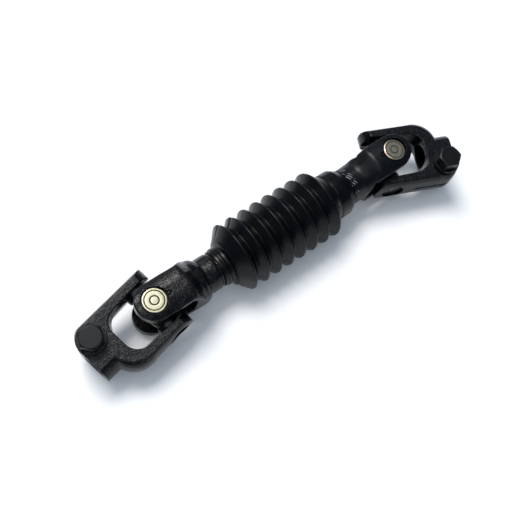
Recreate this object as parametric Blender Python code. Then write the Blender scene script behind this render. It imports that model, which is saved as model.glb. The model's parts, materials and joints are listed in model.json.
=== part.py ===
# Telescoping steering shaft with a universal joint at each end.
# The shaft lies along X. Z of the shaft is the axis of the bearing cups that
# face up, and the whole assembly is rolled about X the way it lies on a table.
import math

import bmesh
import bpy
from mathutils import Matrix, Vector

# Whole assembly
JOINT_SPACING = 0.192
LEFT_SWING = 12.4
LEFT_TILT = 3.3
RIGHT_SWING = -23.5
RIGHT_TILT = -4.5

# Clearances
SEAT_GAP = 0.0003
END_FLOAT = 0.0004
SLIDE_TRAVEL = 0.018

# Bearing cups, needles, seals and trunnions
CUP_RADIUS = 0.0075
CUP_FACE = 0.0204
CUP_DEPTH = 0.0076
CUP_WALL = 0.0009
CUP_FLOOR = 0.0016
NEEDLE_RADIAL = 0.00105
SEAL_WIDTH = 0.0019
CROSS_BOSS_RADIUS = 0.0066

# Ears of the two inner yokes
EAR_RADIUS = 0.0122
EAR_FACE = 0.0215
EAR_CROWN = EAR_FACE + 0.0003
EAR_INNER = 0.0138
EAR_CHAMFER = 0.0008
GAP_DEPTH = 0.0238
GAP_CORNER = 0.006
SHOULDER_START = 0.017

# Neck of the shaft yoke and of the tube yoke, distances from the joint
SHAFT_NECK_RADIUS = 0.0123
SHAFT_NECK_START = 0.0364
SHAFT_RIM = 0.0029
SHAFT_FORK_HALF_WIDTH = 0.0152
SHAFT_NECK_END = 0.0467
SHAFT_NECK_GROOVE = 0.0022
SHAFT_SOCKET_START = 0.0305
TUBE_NECK_RADIUS = 0.0130
TUBE_NECK_START = 0.0325
TUBE_RIM = 0.0002
TUBE_FORK_HALF_WIDTH = 0.0133
RIM_LENGTH = 0.0059
TUBE_NECK_END = 0.0377
SPIGOT_LENGTH = 0.0083

# Clamp yokes, distances from the joint
ARM_HALF_WIDTH = 0.0204
ARM_BULGE = 0.0023
ELBOW_SWELL = 0.8
WINDOW_HALF_WIDTH = 0.0154
WINDOW_DRAFT = 0.0009
WINDOW_OPENING = 0.042
WINDOW_END = 0.0275
WINDOW_CORNER = 0.0095
YOKE_HALF_HEIGHT = 0.0106
LEFT_YOKE_EAR_RADIUS = 0.0117
RIGHT_YOKE_EAR_RADIUS = 0.0132
HUB_RADIUS = 0.0118
HUB_START = 0.0262
LEFT_HUB_END = 0.0485
RIGHT_HUB_END = 0.0470
BORE_RADIUS = 0.0085
SHOULDER_RADIUS = 0.0170
SHOULDER_X = 0.0195
SHOULDER_Y = 0.0034
BOLT_X = 0.0390
BOLT_Y = -0.0110
SLIT_WIDTH = 0.0016
SLIT_SAW_RADIUS = 0.0315
SLIT_SAW_X = 0.0450
SLIT_DEPTH_Y = -0.0026
SLIT_SAW_Y = SLIT_DEPTH_Y - SLIT_SAW_RADIUS

# Pinch bolt and lock washer
BOLT_RADIUS = 0.0050
HEAD_FLATS = 0.0140
HEAD_HEIGHT = 0.0070
WASHER_RADIUS = 0.0090
WASHER_THICKNESS = 0.0024
WASHER_RISE = 0.0002
BOLT_END = 0.0012

# Splines
TEETH = 12
SPLINE_ROOT = 0.0084
SPLINE_TIP = 0.0096
TOOTH_ROOT_HALF = 0.0009
TOOTH_TIP_HALF = 0.0005
SLEEVE_WALL = 0.0005
SHAFT_PLAIN_RADIUS = 0.0096
COLLAR_RADIUS = 0.0104
COLLAR_END = 0.0525
SPLINE_START = 0.0755
SPLINE_END = JOINT_SPACING - TUBE_NECK_END - SPIGOT_LENGTH - SLIDE_TRAVEL - 0.0015
TUBE_START = COLLAR_END + SLIDE_TRAVEL + 0.0030
TUBE_WALL = 0.0027
TUBE_RADIUS = SPLINE_TIP + 2 * SEAT_GAP + SLEEVE_WALL + TUBE_WALL

# Bellows
CREST_RADIUS = 0.02365
VALLEY_RADIUS = 0.0190
CREST_PITCH = 0.00983
FIRST_CREST = 0.0620
CRESTS = 8
RUBBER_WALL = 0.0014
SMALL_CUFF_RADIUS = 0.0130
SMALL_CUFF_END = FIRST_CREST - 0.0085
LARGE_CUFF_WALL = 0.0032
LARGE_CUFF_RADIUS = TUBE_RADIUS + LARGE_CUFF_WALL
LARGE_CUFF_START = FIRST_CREST + (CRESTS - 1) * CREST_PITCH + 0.0097
LARGE_CUFF_END = LARGE_CUFF_START + 0.0115
END_FLANK_RADIUS = SMALL_CUFF_RADIUS + 0.0032

# Facets round a full turn
FINE = 36
ROUND = 24
CUP_FACETS = 20
SMALL = 16


def clear_scene():
    """Remove every object of the opened scene."""
    for item in list(bpy.data.objects):
        bpy.data.objects.remove(item, do_unlink=True)


def surface(name, colour, roughness, metallic):
    """One Principled material for one piece."""
    mat = bpy.data.materials.new(name)
    mat.use_nodes = True
    shader = mat.node_tree.nodes["Principled BSDF"]
    shader.inputs["Base Color"].default_value = (*colour, 1.0)
    shader.inputs["Roughness"].default_value = roughness
    shader.inputs["Metallic"].default_value = metallic
    return mat


def painted(name):
    return surface(name, (0.022, 0.022, 0.025), 0.38, 0.25)


def steel(name):
    return surface(name, (0.62, 0.58, 0.48), 0.32, 0.9)


def plated(name):
    return surface(name, (0.12, 0.12, 0.13), 0.42, 0.7)


def rubber(name):
    return surface(name, (0.015, 0.015, 0.017), 0.62, 0.0)


def new_object(name, bm, mat=None):
    """Turn a bmesh into an object with outward faces."""
    bmesh.ops.remove_doubles(bm, verts=bm.verts, dist=1e-7)
    bmesh.ops.recalc_face_normals(bm, faces=bm.faces)
    mesh = bpy.data.meshes.new(name)
    bm.to_mesh(mesh)
    bm.free()
    item = bpy.data.objects.new(name, mesh)
    bpy.context.collection.objects.link(item)
    if mat is not None:
        mesh.materials.append(mat)
    return item


def combine(item, other, operation):
    """Cut, join or intersect an object with another, which is used up."""
    bpy.context.view_layer.update()
    mod = item.modifiers.new(operation.lower(), 'BOOLEAN')
    mod.operation = operation
    mod.solver = 'EXACT'
    mod.object = other
    graph = bpy.context.evaluated_depsgraph_get()
    result = bpy.data.meshes.new_from_object(item.evaluated_get(graph))
    item.modifiers.remove(mod)
    old = item.data
    result.name = item.name
    item.data = result
    bpy.data.meshes.remove(old)
    bpy.data.objects.remove(other, do_unlink=True)
    return item


def finish(item, mat, angle=35.0):
    """Give a piece its material and smooth its round faces."""
    item.data.materials.clear()
    item.data.materials.append(mat)
    for face in item.data.polygons:
        face.use_smooth = True
        face.material_index = 0
    bm = bmesh.new()
    bm.from_mesh(item.data)
    for edge in bm.edges:
        if len(edge.link_faces) == 2:
            edge.smooth = edge.calc_face_angle(0.0) < math.radians(angle)
    bm.to_mesh(item.data)
    bm.free()
    return item


def arc(x, y, radius, start, end, steps):
    """Points on an arc, angles in degrees, both ends included."""
    points = []
    for i in range(steps + 1):
        a = math.radians(start + (end - start) * i / steps)
        points.append((x + radius * math.cos(a), y + radius * math.sin(a)))
    return points


def ease(t):
    """Smooth step from 0 to 1."""
    return 0.5 - 0.5 * math.cos(math.pi * t)


AXES = {
    'X': (Vector((1, 0, 0)), Vector((0, 0, 1))),
    'Y': (Vector((0, 1, 0)), Vector((0, 0, 1))),
    'Z': (Vector((0, 0, 1)), Vector((1, 0, 0))),
}


def revolve(name, profile, axis, facets, start=None, closed=False):
    """Spin a profile of (along, radius) points about an axis."""
    along, out = AXES[axis]
    if start is not None:
        out = start
    bm = bmesh.new()
    verts = []
    for a, r in profile:
        verts.append(bm.verts.new(along * a + out * r))
    edges = []
    for i in range(len(verts) - 1):
        edges.append(bm.edges.new((verts[i], verts[i + 1])))
    if closed:
        edges.append(bm.edges.new((verts[-1], verts[0])))
    bmesh.ops.spin(bm, geom=verts + edges, cent=(0, 0, 0), axis=along,
                   angle=2 * math.pi, steps=facets, use_merge=True)
    bmesh.ops.remove_doubles(bm, verts=bm.verts, dist=1e-6)
    return new_object(name, bm)


def rod(name, axis, radius, start, end, facets, x=0.0, y=0.0):
    """Plain round bar along an axis, moved sideways by x and y."""
    profile = [(start, 0.0), (start, radius), (end, radius), (end, 0.0)]
    item = revolve(name, profile, axis, facets)
    item.data.transform(Matrix.Translation((x, y, 0)))
    return item


def prism(name, outline, low, high, plane='XY'):
    """Extrude a closed outline square to its plane."""
    bm = bmesh.new()
    verts = []
    for u, v in outline:
        if plane == 'XY':
            verts.append(bm.verts.new((u, v, low)))
        elif plane == 'XZ':
            verts.append(bm.verts.new((u, low, v)))
        else:
            verts.append(bm.verts.new((low, u, v)))
    face = bm.faces.new(verts)
    step = {'XY': (0, 0, high - low), 'XZ': (0, high - low, 0)}.get(plane, (high - low, 0, 0))
    made = bmesh.ops.extrude_face_region(bm, geom=[face])
    moved = [g for g in made["geom"] if isinstance(g, bmesh.types.BMVert)]
    bmesh.ops.translate(bm, verts=moved, vec=step)
    return new_object(name, bm)


def loft(name, levels):
    """Skin closed outlines that sit one above the other along Z."""
    bm = bmesh.new()
    rings = []
    for z, outline in levels:
        rings.append([bm.verts.new((x, y, z)) for x, y in outline])
    for lower, upper in zip(rings, rings[1:]):
        for i in range(len(lower)):
            j = (i + 1) % len(lower)
            bm.faces.new((lower[i], lower[j], upper[j], upper[i]))
    bm.faces.new(list(reversed(rings[0])))
    bm.faces.new(rings[-1])
    return new_object(name, bm)


def spline_outline(growth):
    """Toothed outline of the shaft, grown evenly by a clearance or a wall."""
    points = []
    root = SPLINE_ROOT + growth
    tip = SPLINE_TIP + growth
    root_angle = (TOOTH_ROOT_HALF + growth) / root
    tip_angle = (TOOTH_TIP_HALF + growth) / tip
    for i in range(TEETH):
        middle = 2 * math.pi * i / TEETH
        for side, radius, angle in ((-1, root, root_angle), (-1, tip, tip_angle),
                                    (1, tip, tip_angle), (1, root, root_angle)):
            a = middle + side * angle
            points.append((radius * math.cos(a), radius * math.sin(a)))
    return points


# Clamp yoke, in the frame of its joint: X to the hub, Y along the cross pin


def yoke_outline(growth, hub_end):
    """Outline of the clamp yoke seen along its bolt, at one height."""
    half = ARM_HALF_WIDTH + growth
    lug = ARM_HALF_WIDTH + BOLT_Y
    far = hub_end + 0.0015
    points = [(-0.016, -half), (BOLT_X * 0.5, -half)]
    for x, y in arc(BOLT_X, BOLT_Y, lug, -90, -10, 6):
        fade = growth * max(0.0, (BOLT_Y - y) / lug) ** 2
        points.append((min(x, far), y - fade))
    points.append((far, BOLT_Y + 0.0015))
    points.append((far, 0.0))
    points.append((SHOULDER_X + SHOULDER_RADIUS + growth + 0.002, 0.0))
    for i in range(9):
        a = math.radians(i * 90 / 8)
        radius = SHOULDER_RADIUS + growth * (1 + ELBOW_SWELL * math.sin(2 * a))
        points.append((SHOULDER_X + radius * math.cos(a), SHOULDER_Y + radius * math.sin(a)))
    points.append((-0.016, half))
    return points


def window_outline(draft):
    """Outline of the gap between the arms, wider towards the tips."""
    half = WINDOW_HALF_WIDTH - draft
    end = WINDOW_END - draft * 1.3
    near = half - WINDOW_OPENING * (end - WINDOW_CORNER)
    far = half + WINDOW_OPENING * 0.03
    x = end - WINDOW_CORNER
    points = [(-0.03, far), (-0.03, -far)]
    points += arc(x, -(near - WINDOW_CORNER), WINDOW_CORNER, -90, 0, 6)
    points += arc(x, near - WINDOW_CORNER, WINDOW_CORNER, 0, 90, 6)
    return points


def side_outline(ear_radius, hub_end):
    """Side view of the clamp yoke: ears round the pin, flat top and foot."""
    turn = math.degrees(math.asin(YOKE_HALF_HEIGHT / ear_radius))
    points = arc(0, 0, ear_radius, 180 - turn, 180 + turn, 10)
    points.append((hub_end, -YOKE_HALF_HEIGHT))
    points.append((hub_end, YOKE_HALF_HEIGHT))
    return points


def clamp_yoke(name, ear_radius, hub_end):
    """Forged yoke with two ears, a clamp bore, a saw slit and a lug."""
    levels = []
    for part in (-1.15, -0.87, -0.57, 0.0, 0.57, 0.87, 1.15):
        growth = ARM_BULGE * max(1 - part ** 4, -0.5)
        levels.append((part * YOKE_HALF_HEIGHT, yoke_outline(growth, hub_end)))
    item = loft(name, levels)
    far = hub_end + 0.0015
    combine(item, rod("hub", 'X', HUB_RADIUS, HUB_START, far, ROUND), 'UNION')
    side = prism("side", side_outline(ear_radius, hub_end), -0.04, 0.04, 'XZ')
    combine(item, side, 'INTERSECT')
    tall = YOKE_HALF_HEIGHT * 1.25
    drafts = []
    for z in (-tall, 0.0, tall):
        drafts.append((z, window_outline(WINDOW_DRAFT * (1 - abs(z) / YOKE_HALF_HEIGHT))))
    combine(item, loft("window", drafts), 'DIFFERENCE')
    mouth = BORE_RADIUS + 0.0009
    bore = [(HUB_START - 0.006, 0.0), (HUB_START - 0.006, BORE_RADIUS),
            (hub_end - 0.0009, BORE_RADIUS), (hub_end + 0.0001, mouth),
            (far, mouth), (far, 0.0)]
    combine(item, revolve("bore", bore, 'X', ROUND), 'DIFFERENCE')
    hole = CUP_RADIUS + SEAT_GAP
    combine(item, rod("cups", 'Y', hole, -0.03, 0.03, ROUND), 'DIFFERENCE')
    shank = BOLT_RADIUS + SEAT_GAP
    combine(item, rod("bolt_hole", 'Z', shank, -0.015, 0.015, 24, BOLT_X, BOLT_Y), 'DIFFERENCE')
    saw = rod("saw", 'Z', SLIT_SAW_RADIUS, -SLIT_WIDTH / 2, SLIT_WIDTH / 2, 48,
              SLIT_SAW_X, SLIT_SAW_Y)
    combine(item, saw, 'DIFFERENCE')
    return finish(item, painted(name))


def pinch_bolt(name):
    """Hex bolt, head up, with a chamfered head and a plain shank."""
    under = YOKE_HALF_HEIGHT + 2 * SEAT_GAP + WASHER_THICKNESS + WASHER_RISE
    top = under + HEAD_HEIGHT
    corner = HEAD_FLATS / math.sqrt(3)
    flat = HEAD_FLATS / 2
    head = prism(name, arc(0, 0, corner, 0, 300, 5), under, top)
    crown = [(under - 0.001, 0.0), (under - 0.001, corner * 1.1),
             (top - 0.0009, corner * 1.02), (top - 0.0004, flat * 1.03),
             (top, flat * 0.93), (top, 0.0)]
    combine(head, revolve("crown", crown, 'Z', 24), 'INTERSECT')
    end = -YOKE_HALF_HEIGHT - BOLT_END
    shank = [(end, 0.0), (end, BOLT_RADIUS - 0.0008), (end + 0.0008, BOLT_RADIUS),
             (under + 0.002, BOLT_RADIUS), (under + 0.002, 0.0)]
    combine(head, revolve("shank", shank, 'Z', 24), 'UNION')
    head.data.transform(Matrix.Translation((BOLT_X, BOLT_Y, 0)))
    return finish(head, plated(name), 25.0)


def lock_washer(name):
    """Split spring washer whose two ends stand a little apart."""
    bm = bmesh.new()
    low = YOKE_HALF_HEIGHT + SEAT_GAP
    inner = BOLT_RADIUS + SEAT_GAP
    sections = []
    steps = 28
    for i in range(steps + 1):
        a = math.radians(20 + 345 * i / steps)
        z = low + WASHER_RISE * i / steps
        ring = []
        for radius, height in ((inner, 0), (WASHER_RADIUS, 0),
                               (WASHER_RADIUS, WASHER_THICKNESS), (inner, WASHER_THICKNESS)):
            x = BOLT_X + radius * math.cos(a)
            y = BOLT_Y + radius * math.sin(a)
            ring.append(bm.verts.new((x, y, z + height)))
        sections.append(ring)
    for one, two in zip(sections, sections[1:]):
        for i in range(4):
            j = (i + 1) % 4
            bm.faces.new((one[i], one[j], two[j], two[i]))
    bm.faces.new(sections[0])
    bm.faces.new(list(reversed(sections[-1])))
    return finish(new_object(name, bm), plated(name))


# Universal joint, in the frame of its cross


def journal_cross(name):
    """Cross with four ground trunnions and a waisted middle."""
    end = CUP_FACE - CUP_FLOOR - END_FLOAT
    boss = CUP_FACE - CUP_DEPTH - SEAL_WIDTH - 2 * SEAT_GAP
    pin = CUP_RADIUS - CUP_WALL - NEEDLE_RADIAL - 2 * SEAT_GAP
    half = [(0.0, 0.0076), (boss - 0.0032, 0.0076), (boss - 0.0004, CROSS_BOSS_RADIUS),
            (boss, CROSS_BOSS_RADIUS - 0.0004), (boss, pin), (end - 0.0006, pin),
            (end, pin - 0.0006), (end, 0.0)]
    profile = [(-a, r) for a, r in reversed(half[1:])] + half[1:]
    item = revolve(name, profile, 'Z', SMALL, Vector((0, 1, 0)))
    combine(item, revolve("pins", profile, 'Y', SMALL, Vector((1, 0, 0))), 'UNION')
    return finish(item, steel(name))


def around(profile_fn, base, group, material):
    """One piece on each of the four trunnions, facing out."""
    turns = {'upper': Matrix.Identity(4), 'lower': Matrix.Rotation(math.pi, 4, 'X'),
             'lug': Matrix.Rotation(math.pi / 2, 4, 'X'),
             'arm': Matrix.Rotation(-math.pi / 2, 4, 'X')}
    made = {}
    for place, turn in turns.items():
        item = profile_fn(group + "_" + base + "_" + place)
        item.data.transform(turn)
        made[place] = finish(item, material(item.name))
    return made


def bearing_cup(name):
    """Drawn cup, open towards the cross, with a dimple in its face."""
    inner = CUP_RADIUS - CUP_WALL
    foot = CUP_FACE - CUP_DEPTH
    profile = [(CUP_FACE - 0.00025, 0.0), (CUP_FACE - 0.00025, 0.0024), (CUP_FACE, 0.0027),
               (CUP_FACE, CUP_RADIUS - 0.0008), (CUP_FACE - 0.0005, CUP_RADIUS),
               (foot, CUP_RADIUS), (foot, inner), (CUP_FACE - CUP_FLOOR, inner),
               (CUP_FACE - CUP_FLOOR, 0.0)]
    return revolve(name, profile, 'Z', CUP_FACETS)


def needle_ring(name):
    """Full set of needles, as the ring that they fill."""
    outer = CUP_RADIUS - CUP_WALL - SEAT_GAP
    inner = outer - NEEDLE_RADIAL
    low = CUP_FACE - CUP_DEPTH + 0.0004
    high = CUP_FACE - CUP_FLOOR - SEAT_GAP
    profile = [(low, inner), (low, outer), (high, outer), (high, inner)]
    return revolve(name, profile, 'Z', SMALL, closed=True)


def dust_seal(name):
    """Lip ring between the mouth of a cup and the shoulder of the cross."""
    outer = CUP_RADIUS - 0.0001
    inner = CUP_RADIUS - CUP_WALL - NEEDLE_RADIAL - SEAT_GAP
    high = CUP_FACE - CUP_DEPTH - SEAT_GAP
    low = high - SEAL_WIDTH
    profile = [(low, inner), (low, outer - 0.0006), (high, outer), (high, inner)]
    return revolve(name, profile, 'Z', SMALL, closed=True)


# Inner yokes, in the frame of their joint: X to the middle of the shaft


def ear_outline(inset, half_width):
    """Plan of an inner yoke: round ears that widen into the shoulder."""
    width = EAR_RADIUS - inset
    wide = half_width - inset
    points = arc(0, 0, width, 90, 270, 14)
    points.append((0.0215, -width))
    points.append((0.0300, -wide))
    points.append((0.0600, -wide))
    points.append((0.0600, wide))
    points.append((0.0300, wide))
    points.append((0.0215, width))
    return points


def shoulder_profile(neck, neck_start, rim):
    """Turned outline from the ears to a rim, which rounds down to the neck."""
    top = math.hypot(EAR_FACE, EAR_RADIUS) + 0.0012
    points = [(-0.02, 0.0), (-0.02, top), (SHOULDER_START, top)]
    crown = neck_start - RIM_LENGTH
    for i in range(1, 8):
        t = i / 7
        x = SHOULDER_START + (crown - SHOULDER_START) * t
        points.append((x, top + (neck + rim - top) * ease(t)))
    for t in (0.35, 0.62, 0.84, 1.0):
        points.append((crown + RIM_LENGTH * t, neck + rim * (1 - t * t)))
    return points


def crown_upper_side(item, neck_start):
    """Bring the turned body down to the upper ear, so that its face is crowned."""
    crown = neck_start - RIM_LENGTH
    drop = math.hypot(EAR_FACE, EAR_RADIUS) + 0.0012 - EAR_CROWN
    for vert in item.data.vertices:
        radius = math.hypot(vert.co.y, vert.co.z)
        if radius < 0.001:
            continue
        t = min(1.0, max(0.0, (vert.co.x - SHOULDER_START) / (crown - SHOULDER_START)))
        up = min(1.0, max(0.0, (vert.co.z / radius - 0.1) / 0.4))
        share = 1 - up * drop * (1 - ease(t)) / radius
        vert.co.y *= share
        vert.co.z *= share
    return item


def gap_outline():
    """Side view of the gap between the two ears."""
    x = GAP_DEPTH - GAP_CORNER
    z = EAR_INNER - GAP_CORNER
    points = [(-0.03, EAR_INNER), (-0.03, -EAR_INNER)]
    points += arc(x, -z, GAP_CORNER, -90, 0, 5)
    points += arc(x, z, GAP_CORNER, 0, 90, 5)
    return points


def inner_yoke(name, half_width, neck_start, shoulder, tail):
    """Forged fork: two ears, a gap, a turned shoulder and a neck that ends in tail."""
    levels = []
    for z, inset in ((-EAR_FACE, EAR_CHAMFER), (-EAR_FACE + EAR_CHAMFER, 0.0),
                     (EAR_FACE - EAR_CHAMFER, 0.0), (EAR_FACE, EAR_CHAMFER)):
        levels.append((z, ear_outline(inset, half_width)))
    item = loft(name, levels)
    turned = revolve("turned", shoulder + tail, 'X', ROUND)
    combine(item, crown_upper_side(turned, neck_start), 'INTERSECT')
    combine(item, prism("gap", gap_outline(), -0.03, 0.03, 'XZ'), 'DIFFERENCE')
    hole = CUP_RADIUS + SEAT_GAP
    combine(item, rod("cups", 'Z', hole, -0.03, 0.03, ROUND), 'DIFFERENCE')
    return item


def shaft_yoke(name):
    """Left fork, with a socket that holds the splined shaft."""
    groove = SHAFT_NECK_RADIUS - 0.0009
    start = SHAFT_NECK_END - SHAFT_NECK_GROOVE
    tail = [(start, SHAFT_NECK_RADIUS), (start + 0.0006, groove),
            (SHAFT_NECK_END, groove), (SHAFT_NECK_END, 0.0)]
    shoulder = shoulder_profile(SHAFT_NECK_RADIUS, SHAFT_NECK_START, SHAFT_RIM)
    item = inner_yoke(name, SHAFT_FORK_HALF_WIDTH, SHAFT_NECK_START, shoulder, tail)
    socket = SHAFT_PLAIN_RADIUS + SEAT_GAP
    combine(item, rod("socket", 'X', socket, SHAFT_SOCKET_START, 0.06, ROUND), 'DIFFERENCE')
    return finish(item, painted(name))


def tube_yoke(name):
    """Right fork, with a spigot that centres the splined tube."""
    spigot = spline_counterbore() - SEAT_GAP
    end = TUBE_NECK_END + SPIGOT_LENGTH
    tail = [(TUBE_NECK_END, TUBE_NECK_RADIUS), (TUBE_NECK_END, spigot),
            (end - 0.0006, spigot), (end, spigot - 0.0006), (end, 0.0)]
    shoulder = shoulder_profile(TUBE_NECK_RADIUS, TUBE_NECK_START, TUBE_RIM)
    item = inner_yoke(name, TUBE_FORK_HALF_WIDTH, TUBE_NECK_START, shoulder, tail)
    return finish(item, painted(name))


# Sliding shaft


def spline_counterbore():
    """Radius of the plain bore at the yoke end of the tube."""
    return SPLINE_TIP + 2 * SEAT_GAP + SLEEVE_WALL + 0.0002


def along_shaft(item):
    """Turn a prism made along Z so that it lies along X."""
    item.data.transform(Matrix(((0, 0, 1, 0), (1, 0, 0, 0), (0, 1, 0, 0), (0, 0, 0, 1))))
    return item


def splined_shaft(name):
    """Male shaft: plain end, collar for the bellows, toothed end."""
    core = SPLINE_ROOT - 0.0002
    start = SHAFT_SOCKET_START + SEAT_GAP
    collar = SHAFT_NECK_END + SEAT_GAP
    profile = [(start, 0.0), (start, SHAFT_PLAIN_RADIUS - 0.0008),
               (start + 0.0008, SHAFT_PLAIN_RADIUS), (collar, SHAFT_PLAIN_RADIUS),
               (collar, COLLAR_RADIUS), (COLLAR_END, COLLAR_RADIUS),
               (COLLAR_END + 0.0022, core), (SPLINE_START + 0.001, core),
               (SPLINE_START + 0.001, 0.0)]
    item = revolve(name, profile, 'X', ROUND)
    teeth = along_shaft(prism("teeth", spline_outline(0.0), SPLINE_START, SPLINE_END))
    combine(item, teeth, 'UNION')
    return finish(item, steel(name))


def spline_sleeve(name):
    """Slippery coat moulded round the teeth of the shaft."""
    inner = spline_outline(SEAT_GAP)
    outer = spline_outline(SEAT_GAP + SLEEVE_WALL)
    low = SPLINE_START + 0.0015
    high = SPLINE_END - 0.0010
    bm = bmesh.new()
    rings = []
    for z, outline in ((low, inner), (low, outer), (high, outer), (high, inner)):
        rings.append([bm.verts.new((z, x, y)) for x, y in outline])
    count = len(inner)
    for one, two in zip(rings, rings[1:] + rings[:1]):
        for i in range(count):
            j = (i + 1) % count
            bm.faces.new((one[i], one[j], two[j], two[i]))
    return finish(new_object(name, bm), surface(name, (0.75, 0.74, 0.70), 0.55, 0.0))


def splined_tube(name):
    """Female tube with broached teeth and a counterbore for the yoke."""
    end = JOINT_SPACING - TUBE_NECK_END - SEAT_GAP
    deep = end - SPIGOT_LENGTH
    profile = [(TUBE_START, 0.0), (TUBE_START, TUBE_RADIUS - 0.0008),
               (TUBE_START + 0.0008, TUBE_RADIUS), (end - 0.0004, TUBE_RADIUS),
               (end, TUBE_RADIUS - 0.0004), (end, 0.0)]
    item = revolve(name, profile, 'X', FINE)
    growth = 2 * SEAT_GAP + SLEEVE_WALL
    teeth = along_shaft(prism("teeth", spline_outline(growth), TUBE_START - 0.002, deep + 0.001))
    combine(item, teeth, 'DIFFERENCE')
    plain = rod("counterbore", 'X', spline_counterbore(), deep, end + 0.002, ROUND)
    combine(item, plain, 'DIFFERENCE')
    return finish(item, painted(name))


def bellows_outside():
    """Outer outline of the bellows as (along, radius) points."""
    first = FIRST_CREST
    points = [(SHAFT_NECK_END + SEAT_GAP, SMALL_CUFF_RADIUS - 0.0005),
              (SHAFT_NECK_END + SEAT_GAP + 0.0005, SMALL_CUFF_RADIUS),
              (SMALL_CUFF_END, SMALL_CUFF_RADIUS),
              (first - 0.0070, END_FLANK_RADIUS)]
    for i in range(CRESTS):
        x = first + i * CREST_PITCH
        points.append((x - 0.0009, CREST_RADIUS))
        points.append((x + 0.0009, CREST_RADIUS))
        if i < CRESTS - 1:
            points.append((x + CREST_PITCH / 2, VALLEY_RADIUS))
    last = first + (CRESTS - 1) * CREST_PITCH
    points += [(last + 0.0050, LARGE_CUFF_RADIUS + 0.0016),
               (LARGE_CUFF_START - 0.0007, LARGE_CUFF_RADIUS - 0.0006),
               (LARGE_CUFF_START, LARGE_CUFF_RADIUS),
               (LARGE_CUFF_END - 0.0040, LARGE_CUFF_RADIUS),
               (LARGE_CUFF_END, TUBE_RADIUS + 0.0009)]
    return points


def bellows_inside():
    """Inner outline, back from the large cuff to the small one."""
    seat = TUBE_RADIUS + SEAT_GAP
    last = FIRST_CREST + (CRESTS - 1) * CREST_PITCH
    points = [(LARGE_CUFF_END, seat), (LARGE_CUFF_START - 0.0012, seat),
              (last + 0.0050, LARGE_CUFF_RADIUS - 0.0001)]
    for i in reversed(range(CRESTS)):
        x = FIRST_CREST + i * CREST_PITCH
        points.append((x, CREST_RADIUS - RUBBER_WALL))
        if i > 0:
            points.append((x - CREST_PITCH / 2, VALLEY_RADIUS - RUBBER_WALL))
    points += [(FIRST_CREST - 0.0050, END_FLANK_RADIUS + 0.0002),
               (SMALL_CUFF_END - 0.0005, COLLAR_RADIUS + SEAT_GAP),
               (SHAFT_NECK_END + SEAT_GAP, COLLAR_RADIUS + SEAT_GAP)]
    return points


def bellows(name, roll):
    """Rubber bellows, one closed skin with eight folds and two cuffs."""
    down = Vector((0, -math.sin(roll), -math.cos(roll)))
    profile = bellows_outside() + bellows_inside()
    item = revolve(name, profile, 'X', FINE, down, closed=True)
    return finish(item, rubber(name), 50.0)


# Assembly


def resting_roll():
    """Roll at which the bellows and the lower ears of both forks touch the table."""
    edge = math.hypot(EAR_FACE, EAR_RADIUS - EAR_CHAMFER)
    lean = math.atan2(EAR_RADIUS - EAR_CHAMFER, EAR_FACE)
    reach = min(1.0, CREST_RADIUS / edge)
    return lean - math.acos(reach)


def pivot(name, parent, matrix):
    """Empty on a joint, whose frame its pieces share."""
    item = bpy.data.objects.new(name, None)
    item.empty_display_size = 0.02
    bpy.context.collection.objects.link(item)
    item.parent = parent
    item.matrix_basis = matrix
    return item


def carry(parent, *pieces):
    for item in pieces:
        item.parent = parent


def joint_end(group, parent, x, half_turn, swing, tilt, clamp):
    """Cross, bearings, clamp yoke and bolt of one end."""
    centre = Matrix.Translation((x, 0, 0)) @ Matrix.Rotation(half_turn, 4, 'Z')
    cross = pivot(group + "_cross_pivot", parent, centre @ Matrix.Rotation(math.radians(swing), 4, 'Z'))
    yoke = pivot(group + "_yoke_pivot", cross, Matrix.Rotation(math.radians(tilt), 4, 'Y'))
    fork = pivot(group + "_fork_seat", parent, centre @ Matrix.Rotation(math.pi, 4, 'Z'))
    carry(cross, journal_cross(group + "_cross"))
    carry(yoke, clamp, pinch_bolt(group + "_pinch_bolt"), lock_washer(group + "_lock_washer"))
    cups = around(bearing_cup, "cup", group, steel)
    needles = around(needle_ring, "needles", group, steel)
    seals = around(dust_seal, "seal", group, rubber)
    for place in ('upper', 'lower'):
        carry(fork, cups[place], needles[place], seals[place])
    for place in ('lug', 'arm'):
        carry(yoke, cups[place], needles[place], seals[place])
    return fork


def settle(root):
    """Move the assembly so that its box stands centred on the origin."""
    bpy.context.view_layer.update()
    points = []
    for item in bpy.data.objects:
        if item.type == 'MESH':
            points += [item.matrix_world @ v.co for v in item.data.vertices]
    low = [min(p[i] for p in points) for i in range(3)]
    high = [max(p[i] for p in points) for i in range(3)]
    root.location = (-(low[0] + high[0]) / 2, -(low[1] + high[1]) / 2, -low[2])
    bpy.context.view_layer.update()


def main():
    clear_scene()
    roll = resting_roll()
    root = pivot("assembly", None, Matrix.Rotation(roll, 4, 'X'))
    slider = pivot("slider", root, Matrix.Identity(4))
    clamp = clamp_yoke("left_clamp_yoke", LEFT_YOKE_EAR_RADIUS, LEFT_HUB_END)
    left = joint_end("left", slider, 0.0, math.pi, LEFT_SWING, LEFT_TILT, clamp)
    carry(left, shaft_yoke("shaft_yoke"))
    carry(slider, splined_shaft("splined_shaft"), spline_sleeve("spline_sleeve"))
    clamp = clamp_yoke("right_clamp_yoke", RIGHT_YOKE_EAR_RADIUS, RIGHT_HUB_END)
    right = joint_end("right", root, JOINT_SPACING, 0.0, RIGHT_SWING, RIGHT_TILT, clamp)
    carry(right, tube_yoke("tube_yoke"))
    carry(root, splined_tube("splined_tube"), bellows("bellows", roll))
    settle(root)


main()
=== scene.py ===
"""Looks of a telescoping steering shaft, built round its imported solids."""
import json
import math

import bmesh
import bpy
from bpy.props import FloatProperty, FloatVectorProperty, IntProperty, PointerProperty
from mathutils import Matrix, Vector


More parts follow.
